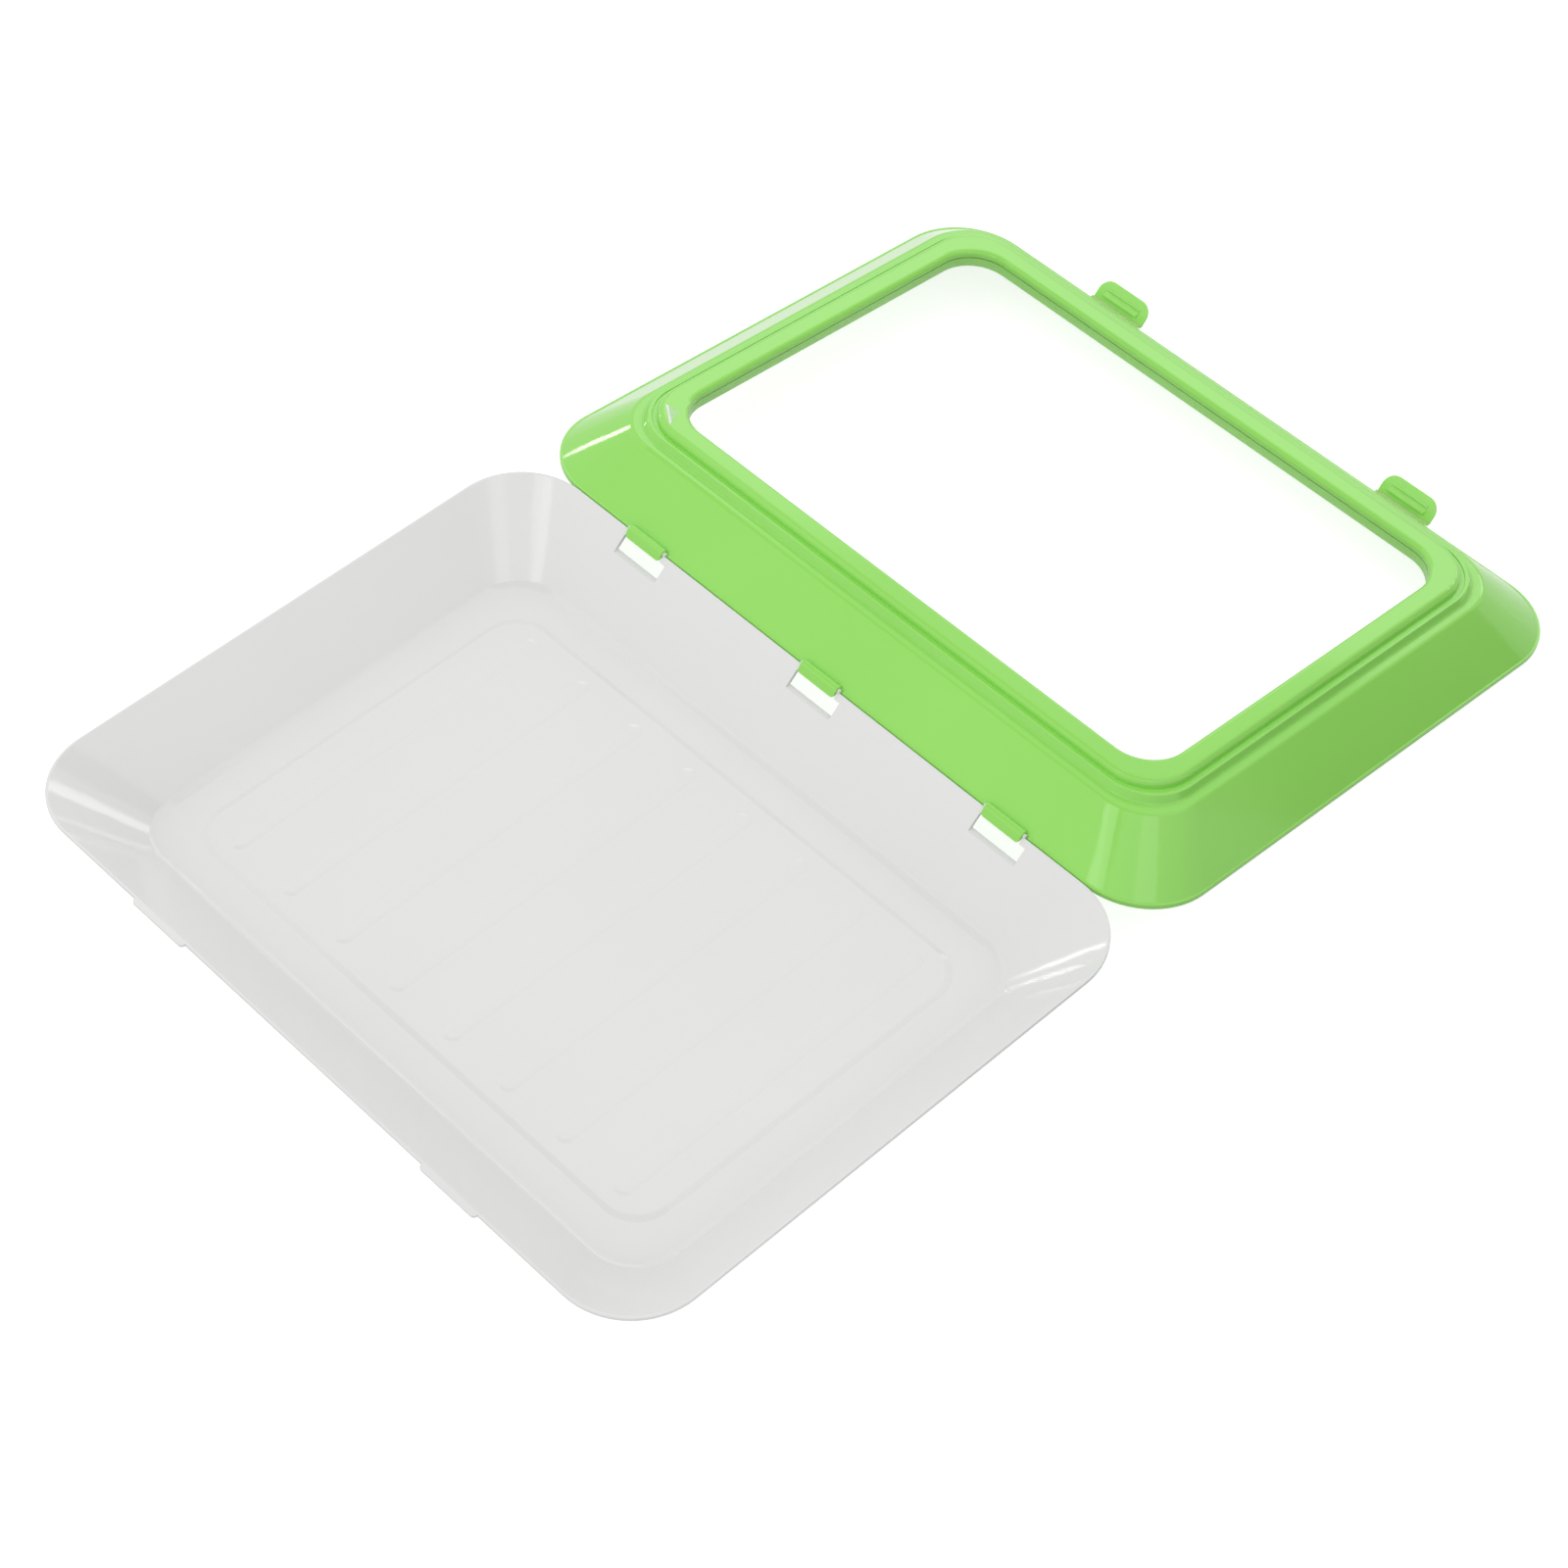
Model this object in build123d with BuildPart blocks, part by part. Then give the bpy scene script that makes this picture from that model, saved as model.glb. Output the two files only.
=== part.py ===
from build123d import *
import os
from math import asin, atan, atan2, cos, degrees, hypot, radians, sin

# Shallow storage tray with a hinged frame lid, a clear stretch film and two snap flaps.
#
# Millimetres. The origin is the centre of the tray's underside, on the surface that the tray
# stands on. +X runs along the hinge, +Y points from the tray towards the opened lid, +Z is up.
# The lid is drawn as it lies when it is opened past flat, with its far edge down on that surface.

os.makedirs("parts", exist_ok=True)

# ---------------------------------------------------------------- driving dimensions
# Outline shared by the tray and the lid
body_length = 310.0          # along the hinge
body_width = 235.0           # across the hinge
rim_corner_radius = 29.0     # corner radius of the rim, seen from above
radius_loss = 0.36           # how much tighter a corner gets for each millimetre of inset
rim_land = 0.8               # width of the top of a rim edge
rim_edge_round = 0.3

# Tray
tray_depth = 24.6            # rim down to the flat margin of the floor
floor_thickness = 1.7
tray_wall = 1.6
foot_inset = 27.0            # rim outline to the foot of the inner wall
foot_fillet = 5.0            # hollow curve between the inner wall and the floor
base_edge_fillet = 4.0       # rounded lower edge of the outside
panel_inset = 40.5           # rim outline to the edge of the raised floor panel
panel_rise = 0.6
panel_edge_slope = 2.0       # width of the sloped edge of the raised panel
rib_count = 8
rib_pitch = 28.0
rib_width = 7.0
rib_rise = 0.2
rib_edge_slope = 1.4         # width of the sloped edge of a rib
rib_end_gap = 5.0            # from the end of a rib to the edge of the panel

# Latch catches on the tray's front rim
latch_offset = 73.0          # from the middle of the tray to the middle of a latch
catch_length = 26.5
catch_reach = 1.8            # how far a catch stands out from the rim
catch_thickness = 1.3
catch_corner = 1.5
catch_edge_round = 0.4       # lower edge, where the hook snaps over it
catch_root = 0.4             # how far a catch runs in over the wall

# Hinge places in the tray's rear wall
hinge_count = 3
hinge_pitch = 89.5
slot_top_drop = 1.6          # rim down to the top of a slot
slot_height = 5.0
slot_near_gap = 0.6          # from a knuckle to the near end of its slot
slot_far_gap = 3.3           # and to the far end, where the slot is left open
notch_gap = 0.35             # from a knuckle to each end of the notch in the rim above the slot
bar_radius = 0.9
bar_ear = 0.6                # how far the bar runs into the rim at each end of the notch
axis_out = 0.3               # hinge axis, outward from the rim edge
axis_up = 0.17               # hinge axis, up from the rim

# Lid frame
closed_gap = 0.35            # rim to rim, when the lid is shut
lid_wall = 1.6
lid_edge_height = 1.8        # height of the lid's rim edge
shoulder_inset = 20.0        # rim outline to the shoulder at the top of the sloped wall
shoulder_round = 2.2
band_width = 3.4             # flat band between the shoulder and the step
step_run = 1.2               # the step leans inwards by this much
step_rise = 3.0              # band up to the top of the ridge
ridge_rise = 0.4             # seat of the clamp ring up to the top of the ridge
ridge_width = 1.2
ridge_round = 0.3
step_foot_round = 0.9
groove_width = 1.5           # open groove between the ridge and the clamp ring
window_inset = 36.5          # rim outline to the edge of the window
skirt_height = 3.7           # window's inner skirt, down from the seat of the ring

# Clamp ring and film
ring_height = 3.3
ring_floor_gap = 1.05        # ring to the tray's floor, when the lid is shut
ring_outer_round = 2.3
ring_inner_round = 1.8       # round of the edge at the window
film_thickness = 0.25
film_gap = 0.1               # above and below the film where it is clamped
tongue_inset = 31.5          # middle of the ring's tongue
tongue_width = 1.0
tongue_depth = 0.7
tongue_gap = 0.2             # each side of the tongue, and below it
film_margin = 0.3            # from the film's edge to the tongue's channel

# Hinge knuckles of the lid
knuckle_length = 17.5
knuckle_bore_gap = 0.08      # radial running clearance on the bar
knuckle_wall = 0.9
tail_length = 3.0
tail_slope = 62.0            # degrees below level, with the lid lying open
tail_corner = 1.3
mouth_start = 226.0          # the knuckle is open between these angles, in the lid's frame
mouth_end = 315.0
relief_gap = 0.3             # round the ends of the bar

# Snap flaps
flap_width = 25.0
flap_length = 9.3            # fold axis to the tip
flap_axis_out = 0.9          # fold axis, outward from the lid's rim edge
flap_axis_drop = 0.4         # fold axis, below the lid's rim plane
flap_rest_angle = 52.0       # degrees that a relaxed flap stands up from the lid's plane
flap_root_radius = 0.2
flap_plate = 1.1
bevel_start = 1.2            # bevel behind the fold: first corner, down from the fold axis
bevel_end = 0.9              # and its second corner, out from the fold axis
catch_top_gap = 0.3          # catch to the flap's root, when the flap is shut
catch_side_gap = 0.4         # catch to the plate, when the flap is shut
hook_gap = 0.35              # catch to hook, when the flap is shut
hook_length = 17.0           # along the rim, shared by the hook and the grip ridge
hook_width = 0.6             # flat top of the hook
hook_lead = 1.9              # slope behind the top, which rides over the catch
hook_engagement = 0.6        # how far the hook reaches under the catch
grip_start = 5.3             # fold axis to the grip ridge
grip_width = 0.6
grip_rise = 0.5
flap_corner = 5.5
flap_edge_round = 0.3

# ---------------------------------------------------------------- worked-out sizes
tray_height = tray_depth + floor_thickness


def corner_radius(inset):
    """Corner radius of an outline that lies this far inside the rim."""
    return rim_corner_radius - radius_loss * inset


def outline(inset, mode=Mode.ADD):
    """Rounded rectangle that lies this far inside the rim."""
    RectangleRounded(body_length - 2 * inset, body_width - 2 * inset, corner_radius(inset), mode=mode)


# Tray wall: the inner face runs straight from the rim land to the foot.
tray_slope = atan(tray_depth / (foot_inset - rim_land))
tray_wall_down = tray_wall / cos(tray_slope)
tray_rim_edge = tray_wall_down - rim_land * tray_depth / (foot_inset - rim_land)
base_inset = (tray_height - tray_rim_edge) / (tray_depth / (foot_inset - rim_land))

# Heights of the lid above its rim plane, counted back from the tray's floor
ring_top = tray_depth + closed_gap - ring_floor_gap
flange_height = ring_top - ring_height    # seat of the film and of the clamp ring
ridge_height = flange_height + ridge_rise
shoulder_height = ridge_height - step_rise
skirt_bottom = flange_height - skirt_height

# Lid wall: the food side runs straight from the rim land to the shoulder.
lid_rise = shoulder_height / (shoulder_inset - rim_land)
lid_wall_down = lid_wall / cos(atan(lid_rise))


def lid_inner_inset(height):
    """Inset of the hollow side of the lid's wall at a height above its rim plane."""
    return rim_land + (height + lid_wall_down) / lid_rise


band_inner = shoulder_inset + band_width
ridge_outer = band_inner + step_run
ridge_inner = ridge_outer + ridge_width
ring_outer = ridge_inner + groove_width
band_underside = shoulder_height - lid_wall
flange_underside = flange_height - lid_wall

# Hinge axis, and the droop that lays the far rim of the opened lid on the surface
axis_y = body_width / 2 + axis_out
axis_z = tray_height + axis_up
axis_height = closed_gap - axis_up        # hinge axis above the lid's rim plane, food side up
edge_run = body_width + axis_out
edge_drop = lid_edge_height + axis_height
droop = degrees(asin(axis_z / hypot(edge_run, edge_drop)) - atan2(edge_drop, edge_run))

# Lid frame of reference: origin at the middle of its rim plane, food side up
lid_out = Vector(0, cos(radians(droop)), -sin(radians(droop)))
lid_up = Vector(0, sin(radians(droop)), cos(radians(droop)))
hinge_axis_point = Vector(0, axis_y, axis_z)
lid_origin = hinge_axis_point + lid_out * (body_width / 2 + axis_out) - lid_up * axis_height
lid_plane = Plane(origin=lid_origin, x_dir=(1, 0, 0), z_dir=lid_up)

# Hinge knuckles: sections are drawn round the hinge axis, with the lid's plane level
bore_radius = bar_radius + knuckle_bore_gap
knuckle_radius = bore_radius + knuckle_wall
slot_length = knuckle_length + slot_near_gap + slot_far_gap
slot_shift = (slot_far_gap - slot_near_gap) / 2
notch_length = knuckle_length + 2 * notch_gap
relief_length = notch_length + 2 * bar_ear + 2 * relief_gap
tail_angle = 90 + tail_slope + droop       # where the tail leaves the knuckle
tail_direction = Vector(0, -cos(radians(tail_slope)), -sin(radians(tail_slope)))
hinge_places = [hinge_pitch * (place - (hinge_count - 1) / 2) for place in range(hinge_count)]

# Snap flaps: sections are drawn round the fold axis, along and square to the flap
fold_above_rim = closed_gap + flap_axis_drop          # with the lid shut
flap_root_end = fold_above_rim - catch_top_gap
plate_face = -(catch_reach + catch_side_gap - flap_axis_out)
plate_back = plate_face - flap_plate
plate_middle = plate_face - flap_plate / 2
hook_start = fold_above_rim + catch_thickness + hook_gap
hook_top = flap_axis_out - catch_reach + hook_engagement
flap_along = lid_out * cos(radians(flap_rest_angle)) + lid_up * sin(radians(flap_rest_angle))
flap_normal = lid_up * cos(radians(flap_rest_angle)) - lid_out * sin(radians(flap_rest_angle))
fold_point = lid_origin + lid_out * (body_width / 2 + flap_axis_out) - lid_up * flap_axis_drop


def section_plane(point, along, x):
    """Plane across X, through a point moved to this X, with its own X along a direction."""
    return Plane(origin=(x, point.Y, point.Z), x_dir=along, z_dir=(1, 0, 0))


def polar(radius, angle):
    """Point of a section, from its distance and direction from the axis."""
    return (radius * cos(radians(angle)), radius * sin(radians(angle)))


def moved(point, distance, angle):
    """Point of a section, moved in a direction."""
    return (point[0] + distance * cos(radians(angle)), point[1] + distance * sin(radians(angle)))


def rim_loop(part, plane, inset, height):
    """Edges of a part that lie on the outline with this inset, at this height over a plane."""
    def on_outline(edge):
        point = plane.to_local_coords(edge @ 0)
        from_end = abs(body_length / 2 - inset - abs(point.X))
        from_side = abs(body_width / 2 - inset - abs(point.Y))
        return min(from_end, from_side) < 0.01 and abs(point.Z - height) < 0.01
    return part.edges().filter_by(on_outline)


# ---------------------------------------------------------------- tray
panel_top = floor_thickness + panel_rise
rib_run = body_width - 2 * (panel_inset + panel_edge_slope + rib_end_gap)
rib_places = [rib_pitch * (place - (rib_count - 1) / 2) for place in range(rib_count)]

with BuildPart() as tray:
    # Outside: sloped walls under an upright rim edge
    with BuildSketch(Plane.XY):
        outline(base_inset)
    with BuildSketch(Plane.XY.offset(tray_height - tray_rim_edge)):
        outline(0)
    loft(ruled=True)
    fillet(tray.edges().group_by(Axis.Z)[0], base_edge_fillet)
    with BuildSketch(Plane.XY.offset(tray_height - tray_rim_edge)):
        outline(0)
    extrude(amount=tray_rim_edge)
    # Inside
    with BuildSketch(Plane.XY.offset(floor_thickness)):
        outline(foot_inset)
    with BuildSketch(Plane.XY.offset(tray_height)):
        outline(rim_land)
    loft(ruled=True, mode=Mode.SUBTRACT)
    fillet(rim_loop(tray, Plane.XY, foot_inset, floor_thickness), foot_fillet)
    fillet(rim_loop(tray, Plane.XY, 0, tray_height), rim_edge_round)
    fillet(rim_loop(tray, Plane.XY, rim_land, tray_height), rim_edge_round)
    # Raised floor panel, hollow below so that the floor keeps its thickness
    with BuildSketch(Plane.XY.offset(floor_thickness)):
        outline(panel_inset)
    with BuildSketch(Plane.XY.offset(panel_top)):
        outline(panel_inset + panel_edge_slope)
    loft(ruled=True)
    with BuildSketch(Plane.XY):
        outline(panel_inset)
    with BuildSketch(Plane.XY.offset(panel_rise)):
        outline(panel_inset + panel_edge_slope)
    loft(ruled=True, mode=Mode.SUBTRACT)
    # Low ribs across the panel
    for rib_x in rib_places:
        with BuildSketch(Plane.XY.offset(panel_top)):
            with Locations((rib_x, 0)):
                SlotOverall(rib_run, rib_width, rotation=90)
        with BuildSketch(Plane.XY.offset(panel_top + rib_rise)):
            with Locations((rib_x, 0)):
                SlotOverall(rib_run - 2 * rib_edge_slope, rib_width - 2 * rib_edge_slope, rotation=90)
        loft(ruled=True)
    # Hinge places: a slot through the wall, a notch up to the rim and the bar across it
    slot_centre_z = tray_height - slot_top_drop - slot_height / 2
    with BuildSketch(Plane.XZ.offset(-body_width / 2 - slot_height)):
        with Locations((slot_shift, slot_centre_z)):
            with GridLocations(hinge_pitch, 0, hinge_count, 1):
                Rectangle(slot_length, slot_height)
        with Locations((0, tray_height - slot_top_drop / 2)):
            with GridLocations(hinge_pitch, 0, hinge_count, 1):
                Rectangle(notch_length, slot_top_drop)
    extrude(amount=foot_inset, mode=Mode.SUBTRACT)
    for hinge_x in hinge_places:
        bar_start = hinge_x - notch_length / 2 - bar_ear
        with BuildSketch(section_plane(hinge_axis_point, (0, 1, 0), bar_start)):
            Circle(bar_radius)
        extrude(amount=notch_length + 2 * bar_ear)
    # Latch catches: ledges flush with the top of the front rim
    with BuildSketch(Plane.XY.offset(tray_height)) as catch_outline:
        with Locations((0, -body_width / 2 + (catch_root - catch_reach) / 2)):
            with GridLocations(2 * latch_offset, 0, 2, 1):
                Rectangle(catch_length, catch_root + catch_reach)
        fillet(catch_outline.vertices().group_by(Axis.Y)[0], catch_corner)
    extrude(amount=-catch_thickness)
    catch_edges = tray.edges().filter_by(
        lambda edge: abs(edge.center().Z - tray_height + catch_thickness) < 0.01
        and edge.center().Y < -body_width / 2)
    fillet(catch_edges, catch_edge_round)
tray.part.label = "tray"
export_step(tray.part, "parts/tray.step")

# ---------------------------------------------------------------- lid frame
with BuildPart() as lid_frame:
    # Food side: rim edge, sloped wall, band, step and ridge
    with BuildSketch(lid_plane.offset(-lid_edge_height)):
        outline(0)
    extrude(amount=lid_edge_height)
    with BuildSketch(lid_plane):
        outline(rim_land)
    with BuildSketch(lid_plane.offset(shoulder_height)):
        outline(shoulder_inset)
    loft(ruled=True)
    fillet(rim_loop(lid_frame, lid_plane, shoulder_inset, shoulder_height), shoulder_round)
    fillet(rim_loop(lid_frame, lid_plane, 0, 0), rim_edge_round)
    fillet(rim_loop(lid_frame, lid_plane, rim_land, 0), rim_edge_round)
    with BuildSketch(lid_plane.offset(shoulder_height)):
        outline(band_inner)
    with BuildSketch(lid_plane.offset(ridge_height)):
        outline(ridge_outer)
    loft(ruled=True)
    fillet(rim_loop(lid_frame, lid_plane, band_inner, shoulder_height), step_foot_round)
    # Seat of the film and the ring, inside the rounded ridge
    with BuildSketch(lid_plane.offset(ridge_height)):
        outline(ridge_inner)
    extrude(amount=flange_height - ridge_height, mode=Mode.SUBTRACT)
    fillet(rim_loop(lid_frame, lid_plane, ridge_outer, ridge_height), ridge_round)
    fillet(rim_loop(lid_frame, lid_plane, ridge_inner, ridge_height), ridge_round)
    # Ring groove that takes the tongue of the clamp ring
    with BuildSketch(lid_plane.offset(flange_height)):
        outline(tongue_inset - tongue_width / 2 - tongue_gap)
        outline(tongue_inset + tongue_width / 2 + tongue_gap, mode=Mode.SUBTRACT)
    extrude(amount=-tongue_depth - tongue_gap, mode=Mode.SUBTRACT)
    # Hollow side: sloped wall, pocket under the flange, and the skirt round the window
    with BuildSketch(lid_plane.offset(-lid_edge_height)):
        outline(lid_inner_inset(-lid_edge_height))
    with BuildSketch(lid_plane.offset(band_underside)):
        outline(lid_inner_inset(band_underside))
    loft(ruled=True, mode=Mode.SUBTRACT)
    with BuildSketch(lid_plane.offset(band_underside)):
        outline(ridge_outer + lid_wall)
    extrude(amount=flange_underside - band_underside, mode=Mode.SUBTRACT)
    with BuildSketch(lid_plane.offset(skirt_bottom)):
        outline(window_inset - lid_wall)
    extrude(amount=flange_underside - skirt_bottom)
    with BuildSketch(lid_plane):
        outline(window_inset)
    extrude(amount=ridge_height, mode=Mode.SUBTRACT)
    # Hinge knuckles: room for the bar and its ends, then a C round it with a tail
    mouth = [(0, 0), polar(2 * knuckle_radius, mouth_start), polar(2 * knuckle_radius, mouth_end)]
    tail_root = [polar(bore_radius, tail_angle), polar(knuckle_radius, tail_angle)]
    tail_tip = [moved(point, tail_length, tail_angle + 90) for point in reversed(tail_root)]
    for hinge_x in hinge_places:
        with BuildSketch(section_plane(hinge_axis_point, lid_out, hinge_x - relief_length / 2)):
            Circle(bar_radius + relief_gap)
        extrude(amount=relief_length, mode=Mode.SUBTRACT)
        knuckle_start = section_plane(hinge_axis_point, lid_out, hinge_x - knuckle_length / 2)
        with BuildSketch(knuckle_start):
            Polygon(*mouth, align=None)
        extrude(amount=knuckle_length, mode=Mode.SUBTRACT)
        with BuildSketch(knuckle_start):
            Circle(knuckle_radius)
            Circle(bore_radius, mode=Mode.SUBTRACT)
            Polygon(*mouth, align=None, mode=Mode.SUBTRACT)
            Polygon(*tail_root, *tail_tip, align=None)
        extrude(amount=knuckle_length)
    tip_faces = lid_frame.faces().filter_by(
        lambda face: face.normal_at().dot(tail_direction) > 0.999 and face.area < 2 * knuckle_length)
    fillet(tip_faces.edges().filter_by(lambda edge: edge.length < 2 * knuckle_wall), tail_corner)
lid_frame.part.label = "lid_frame"
export_step(lid_frame.part, "parts/lid_frame.step")

# ---------------------------------------------------------------- clamp ring and film
film_seat = flange_height + 2 * film_gap + film_thickness
film_inset = tongue_inset + tongue_width / 2 + tongue_gap + film_margin

with BuildPart() as film_ring:
    with BuildSketch(lid_plane.offset(flange_height)):
        outline(ring_outer)
        outline(window_inset, mode=Mode.SUBTRACT)
    extrude(amount=ring_top - flange_height)
    fillet(rim_loop(film_ring, lid_plane, ring_outer, ring_top), ring_outer_round)
    fillet(rim_loop(film_ring, lid_plane, window_inset, ring_top), ring_inner_round)
    with BuildSketch(lid_plane.offset(flange_height)):
        outline(tongue_inset)
    extrude(amount=film_seat - flange_height, mode=Mode.SUBTRACT)
    with BuildSketch(lid_plane.offset(film_seat)):
        outline(tongue_inset - tongue_width / 2)
        outline(tongue_inset + tongue_width / 2, mode=Mode.SUBTRACT)
    extrude(amount=flange_height - tongue_depth - film_seat)
film_ring.part.label = "film_ring"
export_step(film_ring.part, "parts/film_ring.step")

with BuildPart() as stretch_film:
    with BuildSketch(lid_plane.offset(flange_height + film_gap)):
        outline(film_inset)
    extrude(amount=film_thickness)
stretch_film.part.label = "stretch_film"
export_step(stretch_film.part, "parts/stretch_film.step")


# ---------------------------------------------------------------- snap flaps
def snap_flap(middle):
    """Flap with a rounded tip, a hook that goes under its catch, and a grip ridge."""
    plate = [
        (-flap_root_radius, 0), (-flap_root_radius, -bevel_start), (bevel_end, plate_back),
        (flap_length, plate_back), (flap_length, plate_face), (flap_root_end, plate_face), (flap_root_end, 0),
    ]
    hook = [
        (hook_start, plate_middle), (hook_start, hook_top), (hook_start + hook_width, hook_top),
        (hook_start + hook_width + hook_lead, plate_face), (hook_start + hook_width + hook_lead, plate_middle),
    ]
    grip_ridge = [
        (grip_start, plate_middle), (grip_start, plate_face + grip_rise),
        (grip_start + grip_width, plate_face + grip_rise), (grip_start + grip_width, plate_middle),
    ]
    with BuildPart() as flap:
        with BuildSketch(section_plane(fold_point, flap_along, middle - flap_width / 2)):
            Polygon(*plate, align=None)
            Circle(flap_root_radius)
        extrude(amount=flap_width)
        face_plane = Plane(origin=(middle, fold_point.Y, fold_point.Z), x_dir=(1, 0, 0), z_dir=flap_normal)
        with BuildSketch(face_plane.offset(2 * plate_back)):
            RectangleRounded(flap_width, 2 * flap_length, flap_corner)
        extrude(amount=-4 * plate_back, mode=Mode.INTERSECT)
        fillet(flap.faces().sort_by(Axis(face_plane.origin, flap_along))[-1].edges(), flap_edge_round)
        with BuildSketch(section_plane(fold_point, flap_along, middle - hook_length / 2)):
            Polygon(*hook, align=None)
            Polygon(*grip_ridge, align=None)
        extrude(amount=hook_length)
    return flap.part


for name, middle in (("latch_left", -latch_offset), ("latch_right", latch_offset)):
    latch = snap_flap(middle)
    latch.label = name
    export_step(latch, f"parts/{name}.step")
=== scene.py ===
import bmesh
import bpy
import math
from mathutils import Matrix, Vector


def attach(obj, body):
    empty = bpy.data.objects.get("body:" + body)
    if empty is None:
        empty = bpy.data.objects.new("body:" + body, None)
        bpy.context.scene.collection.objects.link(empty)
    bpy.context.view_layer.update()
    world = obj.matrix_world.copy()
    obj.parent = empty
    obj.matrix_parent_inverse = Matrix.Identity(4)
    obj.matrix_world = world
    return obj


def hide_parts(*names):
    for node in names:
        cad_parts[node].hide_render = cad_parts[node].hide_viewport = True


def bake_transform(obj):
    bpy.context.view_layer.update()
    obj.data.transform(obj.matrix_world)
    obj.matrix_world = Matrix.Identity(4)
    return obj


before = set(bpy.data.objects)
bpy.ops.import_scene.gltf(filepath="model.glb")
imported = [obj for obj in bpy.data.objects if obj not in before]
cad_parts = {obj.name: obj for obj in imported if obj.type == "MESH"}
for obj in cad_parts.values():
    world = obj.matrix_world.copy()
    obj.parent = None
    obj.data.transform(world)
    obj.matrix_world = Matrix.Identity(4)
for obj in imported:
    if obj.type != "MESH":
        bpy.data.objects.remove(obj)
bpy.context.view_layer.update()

# ---------------------------------------------------------------- tray
# Shallow open tray, one piece of white polypropylene. It is injection moulded in a polished
# mould, so its skin is smooth and glossy, with the faint waviness of a thin moulded wall.
flow_cells, wave_cells, skin_cells = 16.0, 40.0, 1200.0     # to the metre: 62, 25 and 0.8 mm each
wave_depth, skin_depth = 0.1, 0.02                          # millimetres
gloss_drift = 0.05           # how far the roughness goes up and down over the wall
glow_reach = 2.0             # how far light travels inside a thin wall, in millimetres


def linear(hex_colour):
    """sRGB hex colour as linear red, green, blue and alpha."""
    channels = [int(hex_colour[i:i + 2], 16) / 255 for i in (1, 3, 5)]
    return [c / 12.92 if c <= 0.04045 else ((c + 0.055) / 1.055) ** 2.4 for c in channels] + [1.0]


def add_node(owner, kind, settings=None, inputs=None, links=None):
    """Adds a node to a material or world, with its settings, socket values and what feeds it."""
    node = owner.node_tree.nodes.new(kind)
    for name, value in (settings or {}).items():
        setattr(node, name, value)
    for name, value in (inputs or {}).items():
        node.inputs[name].default_value = value
    for name, source in (links or {}).items():
        owner.node_tree.links.new(source, node.inputs[name])
    return node


def empty_material(name):
    """A material with no nodes in it yet."""
    material = bpy.data.materials.new(name)
    material.use_nodes = True
    material.node_tree.nodes.clear()
    return material


def moulded_polypropylene(name, face_colour, deep_colour, roughness, coat, glow=0.0):
    """Glossy moulded polypropylene: two close tones drift over the wall, and the skin waves a
    little. The glow is the share of light that goes through a thin wall and comes out again."""
    material = empty_material(name)
    place = add_node(material, "ShaderNodeTexCoord")
    # Flow marks of the melt
    flow = add_node(material, "ShaderNodeTexNoise",
                    inputs={"Scale": flow_cells, "Detail": 2.0, "Roughness": 0.5},
                    links={"Vector": place.outputs["Object"]})
    tone = add_node(material, "ShaderNodeValToRGB", links={"Fac": flow.outputs["Fac"]})
    tone.color_ramp.elements[0].position = 0.1
    tone.color_ramp.elements[0].color = linear(deep_colour)
    tone.color_ramp.elements[1].position = 0.9
    tone.color_ramp.elements[1].color = linear(face_colour)
    # Waviness of the wall. The fine skin of the mould is drawn coarser than it is, so that it shows
    wave = add_node(material, "ShaderNodeTexNoise",
                    inputs={"Scale": wave_cells, "Detail": 1.0},
                    links={"Vector": place.outputs["Object"]})
    skin = add_node(material, "ShaderNodeTexNoise",
                    inputs={"Scale": skin_cells, "Detail": 2.0},
                    links={"Vector": place.outputs["Object"]})
    wave_bump = add_node(material, "ShaderNodeBump",
                         inputs={"Strength": 0.3, "Distance": wave_depth / 1000},
                         links={"Height": wave.outputs["Fac"]})
    skin_bump = add_node(material, "ShaderNodeBump",
                         inputs={"Strength": 0.25, "Distance": skin_depth / 1000},
                         links={"Height": skin.outputs["Fac"],
                                "Normal": wave_bump.outputs["Normal"]})
    gloss = add_node(material, "ShaderNodeMapRange",
                     inputs={"From Min": 0.0, "From Max": 1.0,
                             "To Min": roughness - gloss_drift,
                             "To Max": roughness + gloss_drift},
                     links={"Value": flow.outputs["Fac"]})
    # Green light goes furthest inside the wall, so a thin part is paler and keeps its hue
    shader = add_node(material, "ShaderNodeBsdfPrincipled",
                      inputs={"IOR": 1.49, "Coat Weight": coat, "Coat Roughness": 0.06,
                              "Coat IOR": 1.45, "Subsurface Weight": glow,
                              "Subsurface Radius": (0.5, 1.0, 0.3),
                              "Subsurface Scale": glow_reach / 1000},
                      links={"Base Color": tone.outputs["Color"],
                             "Roughness": gloss.outputs["Result"],
                             "Normal": skin_bump.outputs["Normal"]})
    add_node(material, "ShaderNodeOutputMaterial", links={"Surface": shader.outputs["BSDF"]})
    return material


def give(obj, material):
    """Puts one material on an object."""
    obj.data.materials.clear()
    obj.data.materials.append(material)


# White polypropylene from a polished mould: calm near-white walls with clear, narrow highlights
white_polypropylene = moulded_polypropylene(
    "white_polypropylene_moulded", "#EFEFEE", "#ECECEB", roughness=0.13, coat=0.3)
give(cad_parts["tray"], white_polypropylene)

# ---------------------------------------------------------------- lid frame
# Frame with a large window, injection moulded in green polypropylene, with the three hinge
# knuckles in one piece with it. It lies open, with the side that faces the food upwards.

# Green polypropylene from a polished mould: a fresh, even green under a sharper gloss
green_polypropylene = moulded_polypropylene(
    "green_polypropylene_moulded", "#9EEA69", "#99E564", roughness=0.09, coat=0.25)
give(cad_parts["lid_frame"], green_polypropylene)

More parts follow.
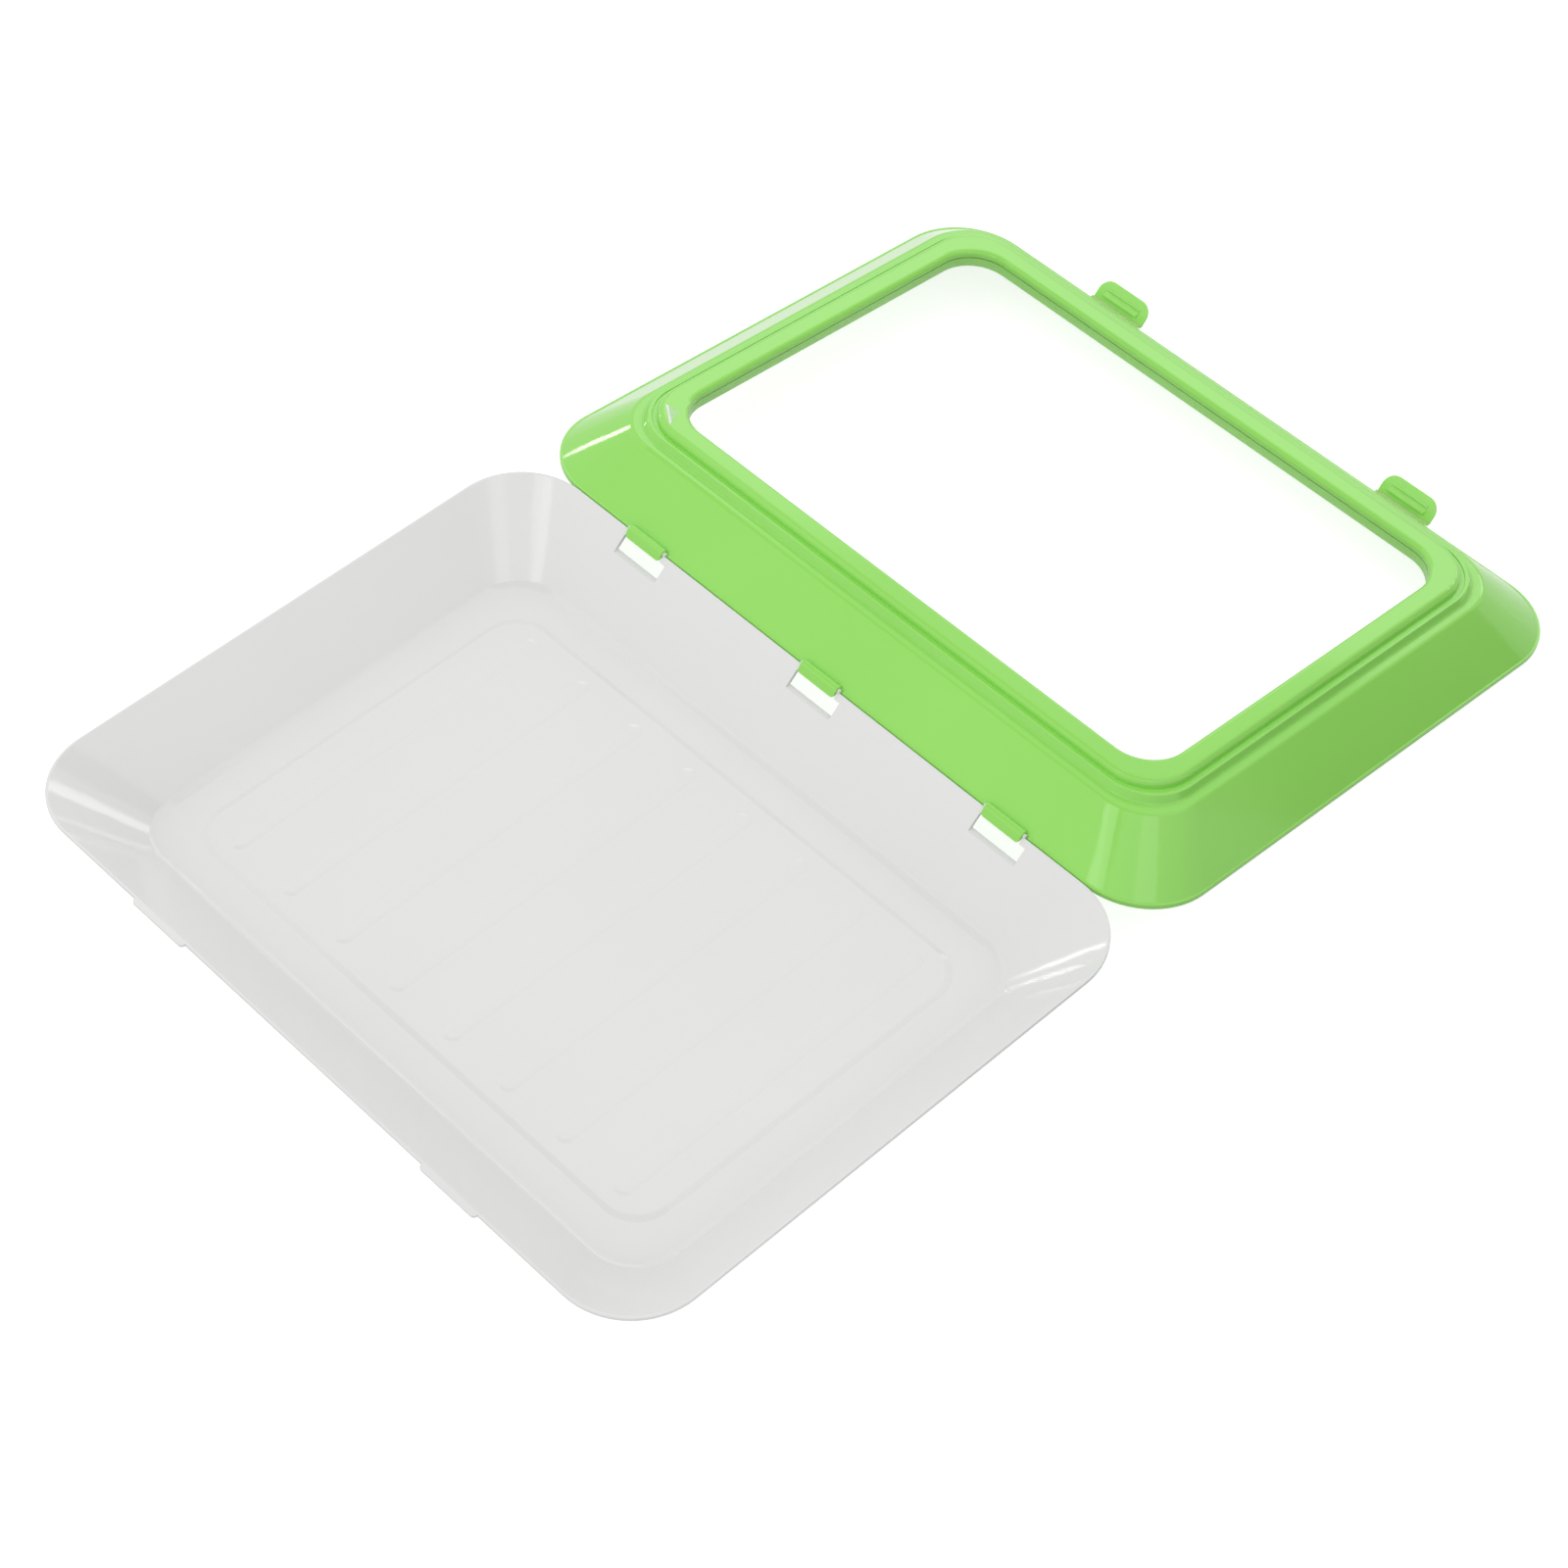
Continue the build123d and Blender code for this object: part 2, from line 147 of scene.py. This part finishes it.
# ---------------------------------------------------------------- clamp ring
# Ring of the same green polypropylene, moulded on its own, with rounded edges and a tongue
# underneath. The tongue is pressed into a groove in the lid frame's seat, and holds the film.
give(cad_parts["film_ring"], green_polypropylene)

# ---------------------------------------------------------------- snap flaps
# Two finger flaps of the same moulding, each with a hook that clips under its catch on the tray.
# A web as thin as card joins each flap to the lid's far rim.
# A round bead along either side of the fold stiffens the edge of the rim and the flap's root.
lid_droop = math.radians(5.976793)                  # the open lid's far rim rests on the table
lid_middle = Vector((0, 0.234941, 0.014025))        # middle of the lid's rim plane, in metres
lid_out = Vector((0, math.cos(lid_droop), -math.sin(lid_droop)))
lid_up = Vector((0, math.sin(lid_droop), math.cos(lid_droop)))
flap_middle = 73.0           # millimetres, as all the sizes below; places are from the lid's middle
web_length, web_thickness = 24.4, 0.3
web_up = -0.4                # middle of the web above the rim plane
rim_face, flap_root = 117.5, 118.2
web_bite = 0.25              # how far the web runs into the rim and into the flap
fold_cuts = 5                # six strips across the fold
pinched_reach, pinch = 0.25, 0.7                    # near the fold it is down to this share
bead_radius, bead_sides = 0.3, 16
rim_bead_out, rim_bead_up = 117.65, -0.2
root_bead_out, root_bead_up = 118.5, -0.25
smooth_angle = math.radians(30)

# The same polypropylene in a wall as thin as the flap's, with light going through it. Its base
# colour is also painted paler, as painted light that lifts the shade the flaps get in the corner by
# the lid's far wall
thin_polypropylene_painted_paler = moulded_polypropylene(
    "green_polypropylene_thin_painted_paler", "#B8F288", "#B2EF81", roughness=0.1, coat=0.25, glow=0.5)
# Web and beads are painted paler still, as painted highlights for the bright lines along either
# side of the fold, which lie in shade there
painted_highlight_polypropylene = moulded_polypropylene(
    "green_polypropylene_painted_highlight", "#C6F99C", "#BFF692", roughness=0.1, coat=0.25, glow=0.5)
give(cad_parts["latch_left"], thin_polypropylene_painted_paler)
give(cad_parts["latch_right"], thin_polypropylene_painted_paler)


def lid_point(x, out, up):
    """Place in metres of a point given in millimetres from the middle of the lid's rim plane."""
    return lid_middle + Vector((x, 0, 0)) / 1000 + lid_out * out / 1000 + lid_up * up / 1000


def lay_on_lid(piece, x, out, up):
    """Tilts a piece with the lid, puts it in its place there and keeps that in its mesh."""
    bpy.ops.object.mode_set(mode="OBJECT")
    piece.rotation_euler = (-lid_droop, 0, 0)
    piece.location = lid_point(x, out, up)
    bpy.ops.object.transform_apply(location=True, rotation=True, scale=True)


def pick(piece, kind, test):
    """Selects the vertices, edges or faces of a piece in edit mode whose middle passes a test.
    The test gets that middle in millimetres."""
    bpy.ops.mesh.select_mode(type=kind)
    bpy.ops.mesh.select_all(action="DESELECT")
    mesh = bmesh.from_edit_mesh(piece.data)
    for part in {"VERT": mesh.verts, "EDGE": mesh.edges, "FACE": mesh.faces}[kind]:
        corners = [part] if kind == "VERT" else part.verts
        middle = sum((corner.co for corner in corners), Vector()) / len(corners)
        part.select = test(middle * 1000)
    mesh.select_flush_mode()
    bmesh.update_edit_mesh(piece.data)


def crosses_fold(place):
    """Whether an edge of the plain web, by its middle, is one of the four from rim to flap."""
    return abs(place.y) < 0.01 and abs(place.z) > 0.01 and abs(place.x) > 1


for name, middle in (("left", -flap_middle), ("right", flap_middle)):
    # A cube of one millimetre, scaled to the web's millimetres, cut across and pinched at the fold
    bpy.ops.object.select_all(action="DESELECT")
    bpy.ops.mesh.primitive_cube_add(size=0.001)
    web = bpy.context.object
    web.name = "web_" + name
    web.scale = (web_length, flap_root - rim_face + 2 * web_bite, web_thickness)
    bpy.ops.object.transform_apply(scale=True)
    bpy.ops.object.mode_set(mode="EDIT")
    pick(web, "EDGE", crosses_fold)
    bpy.ops.mesh.subdivide(number_cuts=fold_cuts)
    pick(web, "VERT", lambda place: abs(place.y) < pinched_reach)
    bpy.ops.transform.resize(value=(1, 1, pinch))
    lay_on_lid(web, middle, (rim_face + flap_root) / 2, web_up)
    bpy.ops.object.shade_smooth_by_angle(angle=smooth_angle)
    give(web, painted_highlight_polypropylene)
    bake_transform(web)
    for bead_name, out, up, body in (
        ("rim_bead_" + name, rim_bead_out, rim_bead_up, "lid"),
        ("root_bead_" + name, root_bead_out, root_bead_up, "latch_" + name),
    ):
        bpy.ops.object.select_all(action="DESELECT")
        bpy.ops.mesh.primitive_cylinder_add(
            vertices=bead_sides, radius=bead_radius / 1000, depth=web_length / 1000,
            rotation=(0, math.radians(90), 0))
        bead = bpy.context.object
        bead.name = bead_name
        bpy.ops.object.transform_apply(rotation=True)
        lay_on_lid(bead, middle, out, up)
        bpy.ops.object.shade_smooth_by_angle(angle=smooth_angle)
        give(bead, painted_highlight_polypropylene)
        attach(bead, body)

# ---------------------------------------------------------------- stretch film
# Clear elastic film, 0.25 mm thick, drawn flat and held all round under the clamp ring. It gives
# when the lid closes on the food and draws flat again, so nothing but its gloss shows.
film_length, film_width, film_thickness = 245.0, 170.0, 0.25
film_radius, radius_steps = 17.3, 8
film_border = 4.0            # width of the flat border under the ring
film_height = 20.7           # underside of the film above the rim plane
haze_cells, ripple_cells = 33.0, 80.0               # to the metre: 30 and 12.5 mm each
ripple_depth = 0.05
haze_spread = 0.3            # how far the veil goes up and down, as a share of it


def clear_film(name, veil):
    """Smooth clear polyurethane film. The veil is the share of light that its faint haze stops."""
    material = empty_material(name)
    place = add_node(material, "ShaderNodeTexCoord")
    # Haze in soft patches, and the slight ripple of a drawn film
    haze = add_node(material, "ShaderNodeTexNoise",
                    inputs={"Scale": haze_cells, "Detail": 2.0},
                    links={"Vector": place.outputs["Object"]})
    cover = add_node(material, "ShaderNodeMapRange",
                     inputs={"To Min": veil * (1 - haze_spread),
                             "To Max": veil * (1 + haze_spread)},
                     links={"Value": haze.outputs["Fac"]})
    ripple = add_node(material, "ShaderNodeTexNoise",
                      inputs={"Scale": ripple_cells, "Detail": 1.0},
                      links={"Vector": place.outputs["Object"]})
    ripple_bump = add_node(material, "ShaderNodeBump",
                           inputs={"Strength": 0.2, "Distance": ripple_depth / 1000},
                           links={"Height": ripple.outputs["Fac"]})
    shader = add_node(material, "ShaderNodeBsdfPrincipled",
                      inputs={"Base Color": linear("#F4F8F2"), "IOR": 1.5, "Roughness": 0.06},
                      links={"Alpha": cover.outputs["Result"],
                             "Normal": ripple_bump.outputs["Normal"]})
    add_node(material, "ShaderNodeOutputMaterial", links={"Surface": shader.outputs["BSDF"]})
    return material


bpy.ops.object.select_all(action="DESELECT")
bpy.ops.mesh.primitive_plane_add(size=0.001)
film = bpy.context.object
film.name = "drawn_film"
film.scale = (film_length, film_width, 1)
bpy.ops.object.transform_apply(scale=True)
bpy.ops.object.mode_set(mode="EDIT")
bpy.ops.mesh.select_all(action="SELECT")
bpy.ops.mesh.bevel(offset=film_radius / 1000, segments=radius_steps, affect="VERTICES")
bpy.ops.mesh.select_all(action="SELECT")
bpy.ops.mesh.inset(thickness=film_border / 1000)
lay_on_lid(film, 0, 0, film_height)
wall = film.modifiers.new("wall", "SOLIDIFY")
wall.thickness = film_thickness / 1000
wall.offset = 1.0
bpy.ops.object.modifier_apply(modifier=wall.name)
# Cast clear film, drawn flat: next to nothing of it shows but a thin gloss
give(film, clear_film("polyurethane_film_clear", veil=0.03))

# One corner of the film has slipped out past the clamp ring and lies creased on the ring's edge.
# It is a triangle with a narrow hem along its long edge. The hem is in the material only: it is
# painted nearly white, a painted highlight for the glint line along the creased film's edge.
corner_length, corner_width = 11.6, 4.8
corner_peak = -1.2           # how far the tip sits to the side of the middle
glint_hem_width = 0.8
corner_cuts = 9
corner_turn = math.radians(36)
corner_x, corner_out, corner_up = -115.9, -82.2, 24.3
corner_gap, corner_thickness = 0.05, 0.04           # height above the ring, and its own thickness
crumple_size, crumple_height = 3.0, 0.18
bpy.ops.object.select_all(action="DESELECT")
bpy.ops.mesh.primitive_plane_add(size=0.001)
loose_corner = bpy.context.object
loose_corner.name = "film_corner"
loose_corner.scale = (corner_length, corner_width, 1)
bpy.ops.object.transform_apply(scale=True)
# Creased film catches light in its folds, so it veils a fifth of what is behind it. The hem is
# painted nearly white, a painted highlight for the glint along the film's edge
give(loose_corner, clear_film("polyurethane_film_creased", veil=0.2))
loose_corner.data.materials.append(clear_film("polyurethane_film_painted_glint", veil=0.9))
bpy.ops.object.mode_set(mode="EDIT")
pick(loose_corner, "VERT", lambda place: place.y > 0)
bpy.ops.mesh.merge(type="CENTER")
bpy.ops.transform.translate(value=(corner_peak / 1000, 0, 0))
bpy.ops.mesh.select_all(action="SELECT")
bpy.ops.mesh.subdivide(number_cuts=corner_cuts)
loose_corner.active_material_index = 1
pick(loose_corner, "FACE", lambda place: place.y < glint_hem_width - corner_width / 2)
bpy.ops.object.material_slot_assign()
bpy.ops.mesh.select_all(action="SELECT")
bpy.ops.transform.rotate(value=corner_turn, orient_axis="Z", center_override=(0, 0, 0))
lay_on_lid(loose_corner, corner_x, corner_out, corner_up)
lie = loose_corner.modifiers.new("lie", "SHRINKWRAP")
lie.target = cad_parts["film_ring"]
lie.wrap_mode = "ABOVE_SURFACE"
lie.offset = corner_gap / 1000
bpy.ops.object.modifier_apply(modifier=lie.name)
crumple = loose_corner.modifiers.new("crumple", "DISPLACE")
crumple.texture = bpy.data.textures.new("crumple", "CLOUDS")
crumple.texture.noise_scale = crumple_size / 1000
crumple.mid_level = 0.5
crumple.strength = crumple_height / 1000
bpy.ops.object.modifier_apply(modifier=crumple.name)
skin = loose_corner.modifiers.new("skin", "SOLIDIFY")
skin.thickness = corner_thickness / 1000
bpy.ops.object.modifier_apply(modifier=skin.name)
film.select_set(True)
bpy.context.view_layer.objects.active = film
bpy.ops.object.join()
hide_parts("stretch_film")
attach(film, "lid")

# ---------------------------------------------------------------- studio
# White paper-topped table that runs out of sight, in a tent of even soft light. Lamps and cards
# out of view draw the bright and the calm fields in the gloss of the plastic.
table_size, table_drop = 8.0, 0.0002                # metres; it lies just under the floor plane
table_light = 0.8            # its own light, added for the camera so that it shows plain white
table_shine = 0.55           # how much of that the gloss of the plastic sees
bpy.ops.object.select_all(action="DESELECT")
bpy.ops.mesh.primitive_plane_add(size=table_size, location=(0, 0, -table_drop))
table_top = bpy.context.object
table_top.name = "table_top"
# Matt white paper, unprinted: plain white to the eye, and it keeps the part's soft shadow
white_paper = empty_material("white_paper_matt")
paper = add_node(white_paper, "ShaderNodeBsdfDiffuse", inputs={"Color": linear("#CBCBCB")})
lit_white = add_node(white_paper, "ShaderNodeEmission",
                     inputs={"Color": linear("#FFFFFF"), "Strength": table_light})
table_rays = add_node(white_paper, "ShaderNodeLightPath")
dim = add_node(white_paper, "ShaderNodeMath", {"operation": "MULTIPLY"},
               inputs={1: table_shine}, links={0: table_rays.outputs["Is Glossy Ray"]})
direct = add_node(white_paper, "ShaderNodeMath", {"operation": "MAXIMUM"},
                  links={0: table_rays.outputs["Is Camera Ray"], 1: dim.outputs["Value"]})
shown = add_node(white_paper, "ShaderNodeMath", {"operation": "MAXIMUM"},
                 links={0: direct.outputs["Value"],
                        1: table_rays.outputs["Is Transmission Ray"]})
glow = add_node(white_paper, "ShaderNodeMixShader",
                links={0: shown.outputs["Value"], 2: lit_white.outputs["Emission"]})
both = add_node(white_paper, "ShaderNodeAddShader",
                links={0: paper.outputs["BSDF"], 1: glow.outputs["Shader"]})
add_node(white_paper, "ShaderNodeOutputMaterial", links={"Surface": both.outputs["Shader"]})
give(table_top, white_paper)

# White to the camera and through the film, and a little softer as the light on the part
tent_light = 0.875
world = bpy.data.worlds.new("soft_tent")
bpy.context.scene.world = world
world.use_nodes = True
world.node_tree.nodes.clear()
tent_rays = add_node(world, "ShaderNodeLightPath")
seen = add_node(world, "ShaderNodeMath", {"operation": "MAXIMUM"},
                links={0: tent_rays.outputs["Is Camera Ray"],
                       1: tent_rays.outputs["Is Transmission Ray"]})
tent = add_node(world, "ShaderNodeBackground",
                inputs={"Color": linear("#FFFFFF"), "Strength": tent_light})
white = add_node(world, "ShaderNodeBackground",
                 inputs={"Color": linear("#FFFFFF"), "Strength": 1.0})
sky = add_node(world, "ShaderNodeMixShader",
               links={0: seen.outputs["Value"], 1: tent.outputs["Background"],
                      2: white.outputs["Background"]})
add_node(world, "ShaderNodeOutputWorld", links={"Surface": sky.outputs["Shader"]})

# A weak sun from high over the tray's near side gives the shadows their side
key = bpy.data.lights.new("key", "SUN")
key.energy = 0.2
key.angle = math.radians(30.0)
key_direction = Vector((0.2, 0.5, -0.84))
key_holder = bpy.data.objects.new("key", key)
bpy.context.scene.collection.objects.link(key_holder)
key_holder.visible_glossy = False
key_holder.rotation_euler = key_direction.to_track_quat("-Z", "Y").to_euler()

# Five flat lamps that show only in the gloss. Two strips draw thin bright lines on the rounded
# corners, and three boxes give the walls their broad sheen. Each has its place, what it points
# at and its width and height, all in metres, and its watts
for name, place, target, size, watts in (
    ("left_strip", (-0.466, 0.132, 0.145), (-0.134, 0.135, 0.034), (0.025, 0.05), 0.04),
    ("far_strip", (-0.085, 1.758, 0.757), (-0.134, -0.098, 0.014), (0.35, 0.3), 0.85),
    ("back_box", (-0.55, 1.05, 0.67), (0, 0.25, 0.03), (0.9, 0.25), 0.75),
    ("front_left_box", (-0.076, -0.526, 0.97), (0.0, 0.11, 0.02), (0.28, 0.32), 0.48),
    ("front_right_box", (0.49, -0.28, 1.05), (0.0, 0.11, 0.02), (0.98, 0.34), 0.95),
):
    lamp = bpy.data.lights.new(name, "AREA")
    lamp.shape = "RECTANGLE"
    lamp.size, lamp.size_y = size
    lamp.energy = watts
    holder = bpy.data.objects.new(name, lamp)
    bpy.context.scene.collection.objects.link(holder)
    holder.location = place
    aim = Vector(target) - Vector(place)
    holder.rotation_euler = aim.to_track_quat("-Z", "Y").to_euler()
    holder.visible_camera = False
    holder.visible_diffuse = False

# Four matt paper cards. A black one beside the lid's right end keeps light off that end. Grey
# ones behind it, on the table there and overhead show only in the gloss, as calm dark fields
for name, colour, place, target, size, only_gloss in (
    ("flag_card", "#272727", (0.33, 0.275, 0.065), (0.0, 0.275, 0.065), (0.45, 0.13), False),
    ("back_card", "#959595", (0.99, 1.59, 1.04), (0.145, 0.24, 0.02), (1.0, 1.2), True),
    ("table_card", "#959595", (0.4, 0.17, 0.0005), (0.4, 0.17, 1.0), (0.44, 0.56), True),
    ("ceiling_card", "#959595", (-0.1, -0.2, 1.5), (-0.1, -0.2, 0.0), (1.6, 1.4), True),
):
    bpy.ops.object.select_all(action="DESELECT")
    bpy.ops.mesh.primitive_plane_add(size=1.0, location=place)
    card = bpy.context.object
    card.name = name
    card.scale = (size[0], size[1], 1)
    aim = Vector(target) - Vector(place)
    card.rotation_euler = aim.to_track_quat("Z", "Y").to_euler()
    card.visible_camera = False
    card.visible_transmission = False
    card.visible_glossy = only_gloss
    card.visible_diffuse = card.visible_shadow = not only_gloss
    card_paper = empty_material(name + "_paper")
    matt = add_node(card_paper, "ShaderNodeBsdfDiffuse", inputs={"Color": linear(colour)})
    add_node(card_paper, "ShaderNodeOutputMaterial", links={"Surface": matt.outputs["BSDF"]})
    give(card, card_paper)

# Long lens, from above the tray's near right corner
camera_data = bpy.data.cameras.new("camera")
camera_data.lens = 87.246
camera_data.sensor_width = 36.0
camera_data.sensor_fit = "HORIZONTAL"
camera = bpy.data.objects.new("camera", camera_data)
bpy.context.scene.collection.objects.link(camera)
camera.location = (0.610215, -0.521444, 1.025866)
camera.rotation_euler = [math.radians(angle) for angle in (39.84033, -1.18919, 45.85569)]
bpy.context.scene.camera = camera
bpy.context.scene.view_settings.view_transform = "Standard"
